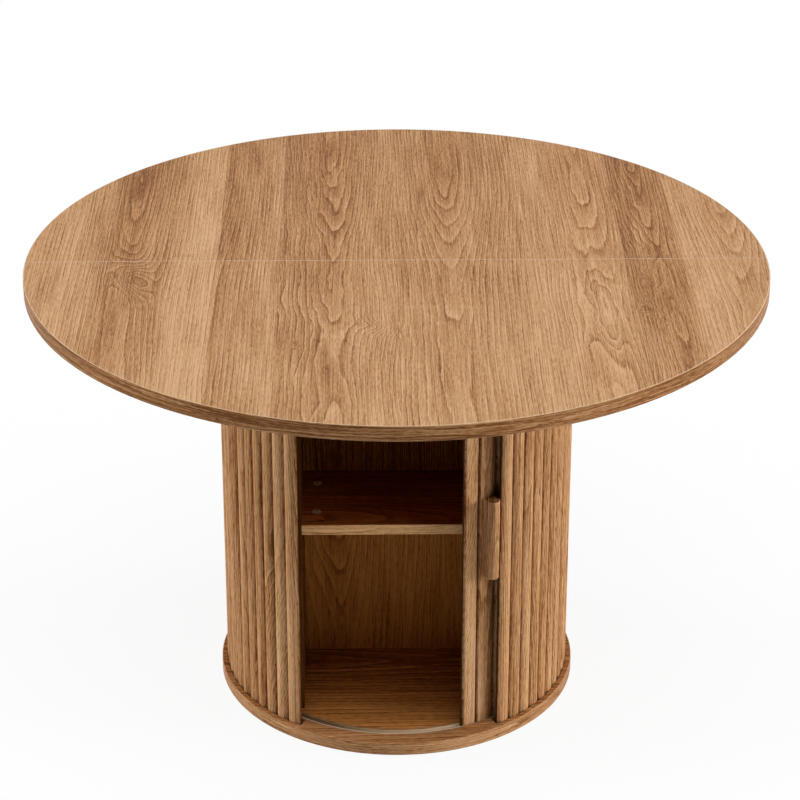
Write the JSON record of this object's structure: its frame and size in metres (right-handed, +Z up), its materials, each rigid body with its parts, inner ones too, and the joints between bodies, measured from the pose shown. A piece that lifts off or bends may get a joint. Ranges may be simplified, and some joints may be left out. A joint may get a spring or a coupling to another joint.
{
  "type": "round kitchen table with drum cabinet",
  "caption": "Round oak-look table on a slatted drum pedestal; the drum is a storage cabinet with a shelf and a tambour door that slides round it on curved tracks.",
  "frame": {"origin": "middle of the drum on the floor", "axes": "+Z up through the middle of the table, -Y out of the cabinet's opening, +X to the side that the door slides to"},
  "size_m": [1.2, 1.1998, 0.755],
  "materials": {
    "oak_laminate": "satin oak-look laminate",
    "oak_slats": "satin oak-look wrap",
    "beech_dowels": "raw beech",
    "track_plastic": "matte",
    "zinc_steel": "zinc plated",
    "backing_cloth": "woven",
    "glide_plastic": "matte"
  },
  "bodies": {
    "table": {"table_top_front": "oak_laminate", "table_top_rear": "oak_laminate", "seam_dowels": "beech_dowels", "joining_plates": "zinc_steel", "joining_plate_screws": "zinc_steel", "plinth": "oak_laminate", "crown_board": "oak_laminate", "floor_glides": "glide_plastic", "left_side_panel": "oak_laminate", "right_side_panel": "oak_laminate", "back_panel": "oak_laminate", "shelf": "oak_laminate", "shelf_cam_locks": "zinc_steel", "shelf_cam_bolts": "zinc_steel", "shelf_dowels": "beech_dowels", "plinth_screws": "zinc_steel", "crown_board_screws": "zinc_steel", "table_top_screws": "zinc_steel", "left_shell_slats": "oak_slats", "right_shell_slats": "oak_slats", "left_shell_backing": "backing_cloth", "right_shell_backing": "backing_cloth", "lower_door_track": "track_plastic", "upper_door_track": "track_plastic"},
    "door": {"door_slat_01": "oak_slats", "door_slat_02": "oak_slats", "door_slat_03": "oak_slats", "door_slat_04": "oak_slats", "door_slat_05": "oak_slats", "door_slat_06": "oak_slats", "door_slat_07": "oak_slats", "door_slat_08": "oak_slats", "door_slat_09": "oak_slats", "door_slat_10": "oak_slats", "door_slat_11": "oak_slats", "door_slat_12": "oak_slats", "door_slat_13": "oak_slats", "door_backing": "backing_cloth", "door_handle": "oak_slats", "handle_screws": "zinc_steel"}
  },
  "joints": [
    {"name": "door_slide", "type": "hinge", "parent": "table", "child": "door", "pos_m": [0, 0, 0], "axis": [0, 0, 1], "range_deg": [-60, 0]}
  ]
}
